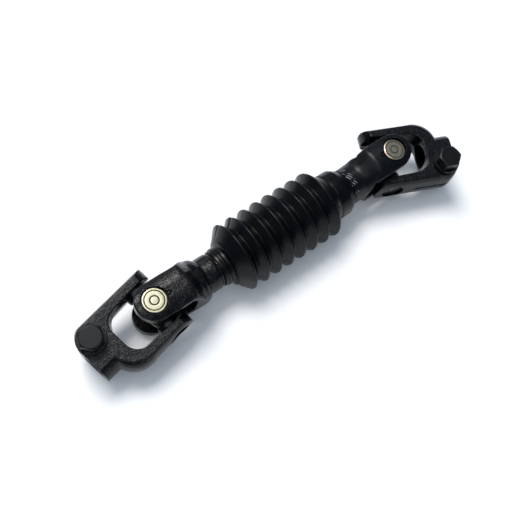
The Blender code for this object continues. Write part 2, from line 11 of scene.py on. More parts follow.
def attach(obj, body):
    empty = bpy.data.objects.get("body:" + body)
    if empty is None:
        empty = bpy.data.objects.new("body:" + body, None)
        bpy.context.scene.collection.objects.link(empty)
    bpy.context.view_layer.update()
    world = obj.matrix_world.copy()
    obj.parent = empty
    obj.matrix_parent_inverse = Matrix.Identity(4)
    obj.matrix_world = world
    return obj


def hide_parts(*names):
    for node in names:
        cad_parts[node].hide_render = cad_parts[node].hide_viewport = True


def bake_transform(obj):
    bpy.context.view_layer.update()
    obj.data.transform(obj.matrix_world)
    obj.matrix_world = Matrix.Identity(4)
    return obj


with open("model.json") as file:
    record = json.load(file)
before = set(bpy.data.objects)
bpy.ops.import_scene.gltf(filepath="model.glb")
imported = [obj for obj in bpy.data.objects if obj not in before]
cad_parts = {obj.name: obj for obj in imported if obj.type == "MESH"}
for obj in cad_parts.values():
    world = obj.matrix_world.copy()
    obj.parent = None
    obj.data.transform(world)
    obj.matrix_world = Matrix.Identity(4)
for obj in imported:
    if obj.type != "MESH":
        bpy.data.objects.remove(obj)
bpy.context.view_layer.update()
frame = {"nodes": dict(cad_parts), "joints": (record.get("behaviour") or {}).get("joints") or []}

bl_info = {
    "name": "Steering Shaft Looks",
    "version": (1, 0, 0),
    "blender": (4, 5, 0),
    "location": "View3D > Sidebar > Shaft",
    "description": "Dresses a steering shaft with two universal joints and a bellows",
    "category": "Object",
}

MM = 0.001
SIDES = ("left", "right")
# Turn of each trunnion about the X of its cross, in degrees
PLACES = {"upper": 0.0, "lower": 180.0, "lug": 90.0, "arm": -90.0}
FORK_PLACES = ("upper", "lower")


# Frames of the joints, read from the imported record


def joint_row(name):
    """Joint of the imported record, by name."""
    for row in frame["joints"]:
        if row["name"] == name:
            return row
    raise RuntimeError("no joint named " + name)


def axes(origin, x, y, z):
    """Matrix whose columns are three directions and an origin."""
    matrix = Matrix.Identity(4)
    for i, column in enumerate((x, y, z, origin)):
        for j in range(3):
            matrix[j][i] = column[j]
    return matrix


def cross_frame(side):
    """Frame of a cross: Y along the pin of the clamp yoke, Z along the other."""
    swing = joint_row(side + "_swing")
    z = Vector(swing["axis"]).normalized()
    y = Vector(joint_row(side + "_tilt")["axis"]).normalized()
    return axes(swing["pos_m"], y.cross(z), y, z)


def clamp_frame(side):
    """Frame of a clamp yoke: X towards its hub."""
    low, high = joint_row(side + "_tilt")["range_deg"]
    return cross_frame(side) @ Matrix.Rotation(math.radians(-(low + high) / 2), 4, 'Y')


def fork_frame(side):
    """Frame of an inner yoke: X towards the middle of the shaft."""
    swing = joint_row(side + "_swing")
    x = Vector((1 if side == "left" else -1, 0, 0))
    z = Vector(swing["axis"]).normalized()
    return axes(swing["pos_m"], x, z.cross(x), z)


def shaft_frame():
    """Frame of the whole shaft, on its left joint."""
    return fork_frame("left")


FORK_BODY = {"left": "shaft", "right": "tube"}


# Sizes and colours that a user can change


class ShaftSizes(bpy.types.PropertyGroup):
    """Sizes of the forgings, the bearings and the bellows."""
    cup_radius: FloatProperty(name="Cup radius", description="Outer radius of a bearing cup",
                              default=7.5 * MM, unit='LENGTH')
    cup_face: FloatProperty(name="Cup face", description="Cup face to the middle of the joint",
                            default=20.4 * MM, unit='LENGTH')
    ear_radius: FloatProperty(name="Ear radius", description="Radius of an inner yoke's ear",
                              default=12.2 * MM, unit='LENGTH')
    ear_face: FloatProperty(name="Ear face", description="Ear face to the middle of the joint",
                            default=21.5 * MM, unit='LENGTH')
    crest_radius: FloatProperty(name="Crest radius", description="Radius of a bellows fold",
                                default=23.65 * MM, unit='LENGTH')
    valley_radius: FloatProperty(name="Valley radius", description="Radius between two folds",
                                 default=19.0 * MM, unit='LENGTH')
    folds: IntProperty(name="Folds", description="Folds of the bellows", default=8)
    voxel: FloatProperty(name="Forging grain", description="Voxel of the remeshed forgings",
                         default=0.42 * MM, unit='LENGTH')


class ShaftColours(bpy.types.PropertyGroup):
    """Colours of the finishes."""
    enamel: FloatVectorProperty(name="Enamel", description="Black enamel of the forgings",
                                subtype='COLOR', default=(0.0030, 0.0032, 0.0042))
    # Worn enamel grey: real wear, and also painted glint and painted edge highlight where the
    # enamel mixes it in
    worn_and_glint: FloatVectorProperty(name="Worn enamel", description="Grey where the enamel is thin",
                              subtype='COLOR', default=(0.050, 0.045, 0.038))
    rubber: FloatVectorProperty(name="Rubber", description="Rubber of the bellows",
                                subtype='COLOR', default=(0.0020, 0.0020, 0.0023))
    steel: FloatVectorProperty(name="Oiled steel", description="Cups in the left inner yoke",
                               subtype='COLOR', default=(0.66, 0.63, 0.45))
    # Right fork cups: a brighter, warmer copy of the cup steel, partly painted light for the
    # dimmer reflection they catch
    steel_with_painted_light: FloatVectorProperty(name="Dull steel", description="Cups in the right inner yoke",
                                    subtype='COLOR', default=(0.92, 0.71, 0.45))
    # Clamp cups: a darker copy of the cup steel, painted shade where they face away from the lamps
    steel_with_painted_shade: FloatVectorProperty(name="Dark steel", description="Cups in the clamp yokes",
                                    subtype='COLOR', default=(0.26, 0.25, 0.23))
    oxide: FloatVectorProperty(name="Black oxide", description="Finish of bolts and washers",
                               subtype='COLOR', default=(0.0045, 0.0045, 0.005))
    floor: FloatVectorProperty(name="Floor", description="Paper that the shaft lies on",
                               subtype='COLOR', default=(0.96, 0.96, 0.965))


def sizes():
    """Sizes as they stand in the scene."""
    return bpy.context.scene.shaft_sizes


def colours():
    """Colours as they stand in the scene."""
    return bpy.context.scene.shaft_colours


# Materials


class Nodes:
    """Short way to add and link the nodes of one material."""

    def __init__(self, name):
        self.mat = bpy.data.materials.new(name)
        self.mat.use_nodes = True
        self.tree = self.mat.node_tree
        self.shader = self.tree.nodes["Principled BSDF"]

    def add(self, kind, **values):
        """Node with its properties and inputs set by name."""
        node = self.tree.nodes.new(kind)
        for key, value in values.items():
            if hasattr(node, key):
                setattr(node, key, value)
            else:
                node.inputs[key.replace("_", " ")].default_value = value
        return node

    def link(self, out, into):
        self.tree.links.new(out, into)

    def plain(self, **values):
        """Values that are the same all over, on the shader's own sockets."""
        for key, value in values.items():
            self.shader.inputs[key.replace("_", " ")].default_value = value

    def position(self):
        return self.add("ShaderNodeTexCoord").outputs["Object"]

    def noise(self, scale, detail=4.0, roughness=0.55, stretch=None):
        """Noise in metres of the piece's own frame."""
        vector = self.position()
        if stretch is not None:
            mapping = self.add("ShaderNodeMapping")
            mapping.inputs["Scale"].default_value = stretch
            self.link(vector, mapping.inputs["Vector"])
            vector = mapping.outputs["Vector"]
        node = self.add("ShaderNodeTexNoise")
        node.inputs["Scale"].default_value = scale
        node.inputs["Detail"].default_value = detail
        node.inputs["Roughness"].default_value = roughness
        self.link(vector, node.inputs["Vector"])
        return node.outputs["Fac"]

    def ramp(self, value, low, high, start=0.0, end=1.0):
        """Value stretched from low..high to start..end, and held there."""
        node = self.add("ShaderNodeMapRange")
        ends = {"From Min": low, "From Max": high, "To Min": start, "To Max": end}
        for key, number in ends.items():
            node.inputs[key].default_value = number
        self.link(value, node.inputs["Value"])
        return node.outputs["Result"]

    def math(self, operation, one, two=0.0):
        """One or two numbers or outputs through a Math node."""
        node = self.add("ShaderNodeMath", operation=operation)
        for slot, value in zip(node.inputs, (one, two)):
            if isinstance(value, (int, float)):
                slot.default_value = value
            else:
                self.link(value, slot)
        return node.outputs[0]

    def mix(self, factor, one, two):
        """Colour between two colours or outputs."""
        node = self.add("ShaderNodeMix", data_type='RGBA')
        self.link(factor, node.inputs["Factor"])
        for slot, value in ((node.inputs[6], one), (node.inputs[7], two)):
            if isinstance(value, bpy.types.NodeSocket):
                self.link(value, slot)
            else:
                slot.default_value = (*value, 1.0)
        return node.outputs[2]

    def attribute(self, name):
        return self.add("ShaderNodeAttribute", attribute_name=name).outputs["Fac"]

    def bump(self, height, distance, strength=1.0, under=None):
        node = self.add("ShaderNodeBump")
        node.inputs["Strength"].default_value = strength
        node.inputs["Distance"].default_value = distance
        self.link(height, node.inputs["Height"])
        if under is not None:
            self.link(under, node.inputs["Normal"])
        return node.outputs["Normal"]


GRAIN_SCALE = 1300.0
GRAIN_DEPTH = 0.00025
FLOW_DEPTH = 0.0006
# Paler edges: rubbed enamel, and partly painted edge highlight
EDGE_WEAR_AND_HIGHLIGHT = 0.45
# Pale grey of the neck slashes: scraped metal, and partly painted glint
SCUFF_AND_GLINT_GREY = (0.45, 0.45, 0.44)
SLASH_MIDDLE = 37.2 * MM
SLASH_WAVES = 3300.0


def enamel(name, grain=1.0, wear_and_glint=1.0, dull=0.0, scuffs_and_glints=None):
    """Semi-gloss black enamel over a forging: grainy on flat faces, thin at edges. The grey
    speckle on the flat faces and the paler edges are partly painted glints and painted edge
    highlights, stronger where the lamps' glints fall.
    """
    n = Nodes(name)
    flat, edge = n.attribute("flat"), n.attribute("edge")
    coarse = n.noise(GRAIN_SCALE, 2.0, 0.5)
    # Grey speckle on the flat faces: grain, and partly painted glint of the lamps
    speck_and_glint = n.ramp(coarse, 0.44, 0.62)
    patch = n.ramp(n.noise(170.0, 4.0), 0.38, 0.60, 0.15, 1.0)
    amount = n.math('MULTIPLY', n.math('MULTIPLY', speck_and_glint, patch), flat)
    # Paler edges: rubbed enamel, and partly painted edge highlight
    thin = n.math('MULTIPLY', edge, n.ramp(n.noise(450.0, 3.0), 0.40, 0.60, 0.0, EDGE_WEAR_AND_HIGHLIGHT))
    amount = n.math('MULTIPLY', n.math('MAXIMUM', amount, thin), wear_and_glint)
    base = n.mix(amount, colours().enamel, colours().worn_and_glint)
    rough = n.ramp(n.noise(260.0, 5.0), 0.3, 0.7, 0.13, 0.22)
    rough = n.math('ADD', rough, n.math('ADD', n.math('MULTIPLY', flat, 0.06), dull))
    # Pale neck slashes: scuffs, and partly painted glints
    if scuffs_and_glints is not None:
        base = n.mix(scuffs_and_glints(n), base, SCUFF_AND_GLINT_GREY)
    n.link(base, n.shader.inputs["Base Color"])
    n.link(rough, n.shader.inputs["Roughness"])
    n.plain(Specular_IOR_Level=0.25)
    flow = n.bump(n.noise(230.0, 3.0), FLOW_DEPTH * grain, 0.7)
    height = n.math('MULTIPLY', coarse, n.math('ADD', n.math('MULTIPLY', flat, 0.85), 0.15))
    n.link(n.bump(height, GRAIN_DEPTH * grain, 1.0, flow), n.shader.inputs["Normal"])
    return n.mat


def neck_scuffs_and_glints(n):
    """Pale slashes round a neck, in the piece's own frame: scuffs through the enamel, and partly
    painted glints, only on the neck's upper side.
    """
    split = n.add("ShaderNodeSeparateXYZ")
    n.link(n.position(), split.inputs[0])
    along, side, up = split.outputs
    slant = n.math('ADD', along, n.math('MULTIPLY', side, 0.55))
    wander = n.math('MULTIPLY', n.noise(160.0, 2.0), 0.0015)
    wave = n.math('SINE', n.math('MULTIPLY', n.math('ADD', slant, wander), SLASH_WAVES))
    lines = n.ramp(wave, 0.60, 0.95)
    breaks = n.ramp(n.noise(240.0, 1.0, 0.5), 0.46, 0.52)
    zone = n.math('ABSOLUTE', n.math('SUBTRACT', along, SLASH_MIDDLE))
    zone = n.ramp(zone, 2.6 * MM, 4.2 * MM, 1.0, 0.0)
    # Only on the upper side of the neck: painted glint where the light catches it
    facing = n.ramp(up, 8.5 * MM, 10.0 * MM)
    return n.math('MULTIPLY', n.math('MULTIPLY', lines, breaks), n.math('MULTIPLY', zone, facing))


def black_rubber(name):
    """Moulded rubber, matte, with a trace of dust."""
    n = Nodes(name)
    dust = n.ramp(n.noise(600.0, 5.0, 0.7), 0.50, 0.85, 0.0, 0.4)
    n.link(n.mix(dust, colours().rubber, (0.006, 0.0058, 0.0058)), n.shader.inputs["Base Color"])
    n.link(n.ramp(n.noise(150.0, 4.0), 0.3, 0.7, 0.24, 0.34), n.shader.inputs["Roughness"])
    n.plain(Specular_IOR_Level=0.21)
    n.link(n.bump(n.noise(2600.0, 2.0), 0.00003, 0.5), n.shader.inputs["Normal"])
    return n.mat


def ring(n, radius, width):
    """One at a radius from the piece's own Z, fading out over a width."""
    split = n.add("ShaderNodeSeparateXYZ")
    n.link(n.position(), split.inputs[0])
    square = n.math('ADD', n.math('MULTIPLY', split.outputs[0], split.outputs[0]),
                    n.math('MULTIPLY', split.outputs[1], split.outputs[1]))
    off = n.math('ABSOLUTE', n.math('SUBTRACT', n.math('SQRT', square), radius))
    return n.ramp(off, 0.0, width, 1.0, 0.0)


# Radius of each groove in a cup's face, and how far its grease spreads
CUP_GROOVES = ((2.70 * MM, 0.66 * MM), (6.02 * MM, 0.60 * MM))


def cup_steel(name, base, grease):
    """Ground face of a cup with old grease in its two grooves, over a black sleeve."""
    n = Nodes(name)
    inner, outer = CUP_GROOVES
    groove = n.math('MAXIMUM', ring(n, *outer), ring(n, *inner))
    groove = n.ramp(groove, 0.16, 0.50)
    stain = n.ramp(n.noise(260.0, 3.0), 0.45, 0.8, 0.0, 0.3)
    face = n.mix(groove, n.mix(stain, base, tuple(c * 0.8 for c in base)), grease)
    height = n.add("ShaderNodeSeparateXYZ")
    n.link(n.position(), height.inputs[0])
    top = sizes().cup_face
    sleeve = n.ramp(height.outputs[2], top - 0.9 * MM, top - 0.5 * MM, 1.0, 0.0)
    n.link(n.mix(sleeve, face, colours().oxide), n.shader.inputs["Base Color"])
    n.link(n.math('SUBTRACT', 1.0, sleeve), n.shader.inputs["Metallic"])
    rough = n.ramp(n.noise(500.0, 3.0), 0.3, 0.7, 0.25, 0.31)
    n.link(n.math('ADD', rough, n.math('MULTIPLY', groove, 0.25)), n.shader.inputs["Roughness"])
    n.link(n.bump(n.noise(500.0, 3.0), 0.000005, 0.5), n.shader.inputs["Normal"])
    return n.mat


def plain_steel(name, base, low, high):
    """Steel as turned or ground, with faint stains."""
    n = Nodes(name)
    stain = n.ramp(n.noise(380.0, 5.0), 0.4, 0.75, 0.0, 0.55)
    n.link(n.mix(stain, base, tuple(c * 0.55 for c in base)), n.shader.inputs["Base Color"])
    n.link(n.ramp(n.noise(900.0, 4.0), 0.3, 0.7, low, high), n.shader.inputs["Roughness"])
    n.plain(Metallic=1.0)
    n.link(n.bump(n.noise(2200.0, 3.0), 0.00003, 0.5), n.shader.inputs["Normal"])
    return n.mat


def black_oxide(name):
    """Dull black bolt finish with rubbed edges and fine scratches."""
    n = Nodes(name)
    rub = n.ramp(n.noise(1100.0, 5.0, 0.7), 0.5, 0.75, 0.0, 0.5)
    n.link(n.mix(rub, colours().oxide, (0.011, 0.0107, 0.0105)), n.shader.inputs["Base Color"])
    n.link(n.ramp(n.noise(500.0, 4.0), 0.3, 0.7, 0.28, 0.42), n.shader.inputs["Roughness"])
    n.plain(Specular_IOR_Level=0.27)
    n.link(n.bump(n.noise(1500.0, 3.0), 0.00008, 0.6), n.shader.inputs["Normal"])
    return n.mat


def nylon(name):
    """Pale moulded coat of the splines, with a film of grease."""
    n = Nodes(name)
    film = n.ramp(n.noise(240.0, 4.0), 0.35, 0.7)
    n.link(n.mix(film, (0.72, 0.70, 0.62), (0.50, 0.45, 0.34)), n.shader.inputs["Base Color"])
    n.link(n.ramp(n.noise(500.0, 3.0), 0.3, 0.7, 0.3, 0.5), n.shader.inputs["Roughness"])
    return n.mat


# Shapes


def new_object(name, bm):
    """Turn a bmesh into an object with outward faces."""
    bmesh.ops.remove_doubles(bm, verts=bm.verts, dist=1e-7)
    bmesh.ops.recalc_face_normals(bm, faces=bm.faces)
    mesh = bpy.data.meshes.new(name)
    bm.to_mesh(mesh)
    bm.free()
    item = bpy.data.objects.new(name, mesh)
    bpy.context.scene.collection.objects.link(item)
    return item


def bake(item):
    """Apply the modifiers of a piece."""
    bpy.context.view_layer.update()
    graph = bpy.context.evaluated_depsgraph_get()
    mesh = bpy.data.meshes.new_from_object(item.evaluated_get(graph))
    mesh.name = item.name
    item.modifiers.clear()
    item.data = mesh


def combine(item, other, operation):
    """Cut, join or intersect a piece with another, which is used up."""
    mod = item.modifiers.new("bool", 'BOOLEAN')
    mod.operation = operation
    mod.solver = 'EXACT'
    mod.object = other
    bake(item)
    bpy.data.objects.remove(other, do_unlink=True)


def forge(item, voxel, rounds=4):
    """Even grain and soft edges, as a forging has."""
    mod = item.modifiers.new("grain", 'REMESH')
    mod.mode = 'VOXEL'
    mod.voxel_size = voxel
    bake(item)
    mod = item.modifiers.new("soft", 'SMOOTH')
    mod.factor = 0.5
    mod.iterations = rounds
    bake(item)


def soften(item, rule, rounds):
    """Smooth only where a rule of the point gives a weight."""
    group = item.vertex_groups.new(name="soft")
    for vert in item.data.vertices:
        weight = rule(vert.co)
        if weight > 0.0:
            group.add([vert.index], min(1.0, weight), 'REPLACE')
    mod = item.modifiers.new("soft", 'SMOOTH')
    mod.factor = 0.5
    mod.iterations = rounds
    mod.vertex_group = group.name
    bake(item)


def shade(item, angle=38.0):
    """Smooth faces with sharp edges above an angle."""
    bm = bmesh.new()
    bm.from_mesh(item.data)
    for face in bm.faces:
        face.smooth = True
    for edge in bm.edges:
        if len(edge.link_faces) == 2:
            edge.smooth = edge.calc_face_angle(0.0) < math.radians(angle)
    bm.to_mesh(item.data)
    bm.free()
    return item


def arc(x, y, radius, start, end, steps):
    """Points on an arc, angles in degrees, both ends included."""
    points = []
    for i in range(steps + 1):
        a = math.radians(start + (end - start) * i / steps)
        points.append((x + radius * math.cos(a), y + radius * math.sin(a)))
    return points


def ease(t):
    """Smooth start and end between 0 and 1."""
    return 0.5 - 0.5 * math.cos(math.pi * t)


def rounded(corners, steps=5):
    """Line through corners of (x, y, radius), each rounded to its radius."""
    line = []
    for i, (x, y, radius) in enumerate(corners):
        here = Vector((x, y))
        if radius <= 0.0 or i in (0, len(corners) - 1):
            line.append((x, y))
            continue
        back = (Vector(corners[i - 1][:2]) - here).normalized()
        ahead = (Vector(corners[i + 1][:2]) - here).normalized()
        half = back.angle(ahead) / 2
        middle = here + (back + ahead).normalized() * (radius / math.sin(half))
        one = here + back * (radius / math.tan(half)) - middle
        two = here + ahead * (radius / math.tan(half)) - middle
        for k in range(steps + 1):
            t = k / steps
            spot = middle + one.lerp(two, t).normalized() * radius
            line.append((spot.x, spot.y))
    return line


SPIN = {
    'X': (Vector((1, 0, 0)), Vector((0, 0, 1))),
    'Y': (Vector((0, 1, 0)), Vector((0, 0, 1))),
    'Z': (Vector((0, 0, 1)), Vector((1, 0, 0))),
}


def revolve(name, profile, axis, facets, closed=False, shape=None):
    """Skin of a profile of (along, radius) points turned about an axis."""
    along, out = SPIN[axis]
    side = along.cross(out)
    bm = bmesh.new()
    rings = []
    for a, r in profile:
        if r <= 0.0:
            rings.append([bm.verts.new(along * a)])
            continue
        ring = []
        for j in range(facets):
            turn = 2 * math.pi * j / facets
            length, radius = (a, r) if shape is None else shape(a, r, turn)
            point = along * length + (out * math.cos(turn) + side * math.sin(turn)) * radius
            ring.append(bm.verts.new(point))
        rings.append(ring)
    pairs = list(zip(rings, rings[1:]))
    if closed:
        pairs.append((rings[-1], rings[0]))
    for one, two in pairs:
        for j in range(facets):
            k = (j + 1) % facets
            quad = [one[j % len(one)], one[k % len(one)], two[k % len(two)], two[j % len(two)]]
            corners = list(dict.fromkeys(quad))
            if len(corners) > 2:
                bm.faces.new(corners)
    return new_object(name, bm)


def rod(axis, radius, start, end, facets, x=0.0, y=0.0):
    """Plain round bar, moved sideways by x and y."""
    item = revolve("rod", [(start, 0.0), (start, radius), (end, radius), (end, 0.0)], axis, facets)
    item.data.transform(Matrix.Translation((x, y, 0)))
    return item


def loft(name, levels):
    """Skin closed outlines that sit one above the other along Z."""
    bm = bmesh.new()
    rings = [[bm.verts.new((x, y, z)) for x, y in outline] for z, outline in levels]
    for lower, upper in zip(rings, rings[1:]):
        for i in range(len(lower)):
            j = (i + 1) % len(lower)
            bm.faces.new((lower[i], lower[j], upper[j], upper[i]))
    bm.faces.new(list(reversed(rings[0])))
    bm.faces.new(rings[-1])
    return new_object(name, bm)


def side_prism(outline, half):
    """Outline in X and Z, extruded both ways along Y."""
    item = loft("side", [(-half, outline), (half, outline)])
    item.data.transform(Matrix(((1, 0, 0, 0), (0, 0, -1, 0), (0, 1, 0, 0), (0, 0, 0, 1))))
    return item


def end_prism(outline, start, end):
    """Outline in Y and Z, extruded along X."""
    item = loft("end", [(start, outline), (end, outline)])
    item.data.transform(Matrix(((0, 0, 1, 0), (1, 0, 0, 0), (0, 1, 0, 0), (0, 0, 0, 1))))
    return item


def serrated(root, tip, teeth):
    """Outline of fine triangular splines."""
    points = []
    for i in range(teeth * 2):
        a = math.pi * i / teeth
        r = tip if i % 2 else root
        points.append((r * math.cos(a), r * math.sin(a)))
    return points


EDGE_FROM = 0.15
EDGE_SPAN = 0.22


def set_wear_and_glint(item, flat_rule):
    """Store which points lie on grainy flat faces and which on rubbed edges; through both the
    enamel also paints glints and edge highlights.
    """
    mesh = item.data
    bm = bmesh.new()
    bm.from_mesh(mesh)
    bm.normal_update()
    flat = mesh.attributes.new("flat", 'FLOAT', 'POINT')
    edge = mesh.attributes.new("edge", 'FLOAT', 'POINT')
    for vert in bm.verts:
        bend = 0.0
        for link in vert.link_edges:
            step = vert.co - link.other_vert(vert).co
            if step.length > 0.0:
                bend += vert.normal.dot(step) / step.length
        bend /= max(1, len(vert.link_edges))
        flat.data[vert.index].value = flat_rule(vert.co, vert.normal)
        edge.data[vert.index].value = min(1.0, max(0.0, (bend - EDGE_FROM) / EDGE_SPAN))
    bm.free()


def place(item, matrix, body, node, material):
    """Put a piece in its frame, on its body, in the place of its solid."""
    item.data.materials.clear()
    item.data.materials.append(material)
    item.matrix_world = matrix
    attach(item, body)
    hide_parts(node)


def finish_node(node, material):
    """Give a solid that stays in view its finish."""
    for slot in frame["nodes"][node].material_slots:
        slot.material = material


# Clamp yoke


ARM = 20.4 * MM
BULGE = 2.3 * MM
HALF_HEIGHT = 10.6 * MM
HUB_END = {"left": 48.5 * MM, "right": 47.0 * MM}
YOKE_EAR = {"left": 11.7 * MM, "right": 13.2 * MM}
HUB_RADIUS = 11.8 * MM
BOLT_X, BOLT_Y = 39.0 * MM, -11.0 * MM
BOLT_RADIUS = 5.0 * MM
BORE_GAP = 0.05 * MM
FACING = 1.5 * MM
SLIT_HALF = 0.8 * MM
SAW_RADIUS, SAW_X, SAW_Y = 31.5 * MM, 45 * MM, -34.1 * MM
# More painted glint on the left clamp, where the lamps' glints fall, than on the right
CLAMP_WEAR_AND_GLINT = {"left": 0.25, "right": 0.15}


def yoke_outline(growth, hub_end):
    """Outline of a clamp yoke seen along its bolt, at one height."""
    half = ARM + growth
    far = hub_end + FACING
    points = [(-16.0 * MM, -half), (BOLT_X * 0.5, -half)]
    lug = ARM + BOLT_Y
    for x, y in arc(BOLT_X, BOLT_Y, lug, -90, -10, 20):
        fade = growth * max(0.0, (BOLT_Y - y) / lug) ** 2
        points.append((min(x, far), y - fade))
    points.append((far, BOLT_Y + 1.5 * MM))
    points.append((far, 0.0))
    points.append((38.5 * MM + growth, 0.0))
    for i in range(25):
        a = math.radians(i * 90 / 24)
        radius = 17.0 * MM + growth * (1 + 0.8 * math.sin(2 * a))
        points.append((19.5 * MM + radius * math.cos(a), 3.4 * MM + radius * math.sin(a)))
    points.append((-16.0 * MM, half))
    return points


def window_outline(draft):
    """Outline of the gap between the arms."""
    half = 15.4 * MM - draft
    end = 27.5 * MM - draft * 1.3
    corner = 9.5 * MM
    near = half - 0.042 * (end - corner)
    far = half + 0.042 * 30 * MM
    x = end - corner
    points = [(-30 * MM, far), (-30 * MM, -far)]
    points += arc(x, -(near - corner), corner, -90, 0, 16)
    points += arc(x, near - corner, corner, 0, 90, 16)
    return points


def clamp_yoke_mesh(name, side, voxel):
    """Forged yoke with machined bores and a saw slit."""
    hub_end, ear = HUB_END[side], YOKE_EAR[side]
    swell = 0.15 * MM
    levels = []
    for i in range(17):
        part = (i - 8) / 8 * 1.15
        growth = BULGE * max(1 - part ** 4, -0.5) + swell
        levels.append((part * HALF_HEIGHT, yoke_outline(growth, hub_end)))
    item = loft(name, levels)
    far = hub_end + FACING
    combine(item, rod('X', HUB_RADIUS + swell, 26.2 * MM, far, 72), 'UNION')
    turn = math.degrees(math.asin(HALF_HEIGHT / ear))
    profile = arc(0, 0, ear + swell, 180 - turn, 180 + turn, 28)
    profile += [(hub_end + 1.0 * MM, -HALF_HEIGHT), (hub_end + 1.0 * MM, HALF_HEIGHT)]
    combine(item, side_prism(profile, 40 * MM), 'INTERSECT')
    tall = HALF_HEIGHT * 1.25
    drafts = []
    for z in (-tall, 0.0, tall):
        drafts.append((z, window_outline(0.9 * MM * (1 - abs(z) / HALF_HEIGHT))))
    combine(item, loft("window", drafts), 'DIFFERENCE')
    forge(item, voxel, 3)
    wide, high = 30 * MM, 20 * MM
    square = [(-wide, -high), (wide, -high), (wide, high), (-wide, high)]
    combine(item, end_prism(square, hub_end, hub_end + 10 * MM), 'DIFFERENCE')
    combine(item, end_prism(serrated(8.75 * MM, 8.3 * MM, 40), 20 * MM, far), 'DIFFERENCE')
    mouth = [(hub_end - 1.0 * MM, 0.0), (hub_end - 1.0 * MM, 8.2 * MM),
             (hub_end + 0.2 * MM, 9.5 * MM), (far, 9.5 * MM), (far, 0.0)]
    combine(item, revolve("mouth", mouth, 'X', 72), 'DIFFERENCE')
    bore = rod('Y', sizes().cup_radius + BORE_GAP, -30 * MM, 30 * MM, 72)
    combine(item, bore, 'DIFFERENCE')
    hole = rod('Z', BOLT_RADIUS + 0.3 * MM, -15 * MM, 15 * MM, 48, BOLT_X, BOLT_Y)
    combine(item, hole, 'DIFFERENCE')
    saw = rod('Z', SAW_RADIUS, -SLIT_HALF, SLIT_HALF, 160, SAW_X, SAW_Y)
    combine(item, saw, 'DIFFERENCE')
    return shade(item)


def clamp_flat(co, normal):
    """The flat top and foot are grainy, the sides less; the grey speckle there is partly painted
    glint.
    """
    outward = normal.z if co.z > 0 else -normal.z
    if abs(co.z) < HALF_HEIGHT - 1.2 * MM:
        return 0.10
    return 0.10 + 0.90 * min(1.0, max(0.0, outward - 0.75) / 0.19)


class SHAFT_OT_clamp_yokes(bpy.types.Operator):
    """Build the two forged clamp yokes"""
    bl_idname = "shaft.clamp_yokes"
    bl_label = "Clamp yokes"

    def execute(self, context):
        for side in SIDES:
            item = clamp_yoke_mesh(side + "_clamp_forging", side, sizes().voxel)
            set_wear_and_glint(item, clamp_flat)
            paint = enamel(side + "_clamp_enamel", wear_and_glint=CLAMP_WEAR_AND_GLINT[side])
            place(item, clamp_frame(side), side + "_clamp", side + "_clamp_yoke",
                  paint)
        return {'FINISHED'}


# Inner yokes


# Neck: its radius, where it starts and ends, and the rim it starts with. Wide: half of the
# shoulder. Fall: where the upper ear's crown comes down. The rest is the enamel's.
# Worn amount: wear and painted glint, far higher on the left fork, where the lamps' glints fall
FORKS = {
    "left": {"neck": 12.3 * MM, "start": 36.4 * MM, "rim": 2.9 * MM, "wide": 15.2 * MM,
             "end": 46.7 * MM, "node": "shaft_yoke", "fall": (21.5 * MM, 32.0 * MM),
             "grain": 1.1, "worn_and_glint": 1.3, "dull": 0.0, "scuffs_and_glints": None},
    "right": {"neck": 13.0 * MM, "start": 32.5 * MM, "rim": 0.2 * MM, "wide": 13.3 * MM,
              "end": 37.7 * MM, "node": "tube_yoke", "fall": (13.5 * MM, 29.5 * MM),
              "grain": 0.4, "worn_and_glint": 0.15, "dull": 0.13, "scuffs_and_glints": neck_scuffs_and_glints},
}
RIM_LENGTH = 5.9 * MM
RING_ANGLE = -6
DENT_ANGLES = (160, 188)


def ear_outline(inset, half_width):
    """Plan of an inner yoke: round ears that widen into the shoulder."""
    width = sizes().ear_radius - inset
    wide = half_width - inset
    points = arc(0, 0, width, 90, 270, 40)
    points += [(21.5 * MM, -width), (30 * MM, -wide), (60 * MM, -wide)]
    points += [(60 * MM, wide), (30 * MM, wide), (21.5 * MM, width)]
    return points


def gap_outline():
    """Side view of the gap between the two ears."""
    x, z, corner = 17.8 * MM, 7.8 * MM, 6.0 * MM
    points = [(-30 * MM, 13.8 * MM), (-30 * MM, -13.8 * MM)]
    points += arc(x, -z, corner, -90, 0, 14)
    points += arc(x, z, corner, 0, 90, 14)
    return points


def punch(line, angle, beside, face, closed=False):
    """Cutter on an ear's face, beside the cup bore at an angle in degrees."""
    item = revolve("punch", line, 'Z', 24, closed=closed)
    radius = sizes().cup_radius + beside
    a = math.radians(angle)
    item.data.transform(Matrix.Translation((radius * math.cos(a), radius * math.sin(a), face)))
    return item


def ring_mark(face):
    """Cutter of the ring struck beside a cup bore."""
    line = [(-1.4 * MM, 0.8 * MM), (-1.4 * MM, 1.7 * MM), (0.9 * MM, 1.85 * MM),
            (0.9 * MM, 0.7 * MM)]
    return punch(line, RING_ANGLE, 2.1 * MM, face, closed=True)


def dent(angle, face):
    """Cutter of a plain dent on the far side of a cup bore."""
    line = [(-0.7 * MM, 0.0), (-0.7 * MM, 0.5 * MM), (0.9 * MM, 0.9 * MM), (0.9 * MM, 0.0)]
    return punch(line, angle, 1.5 * MM, face)


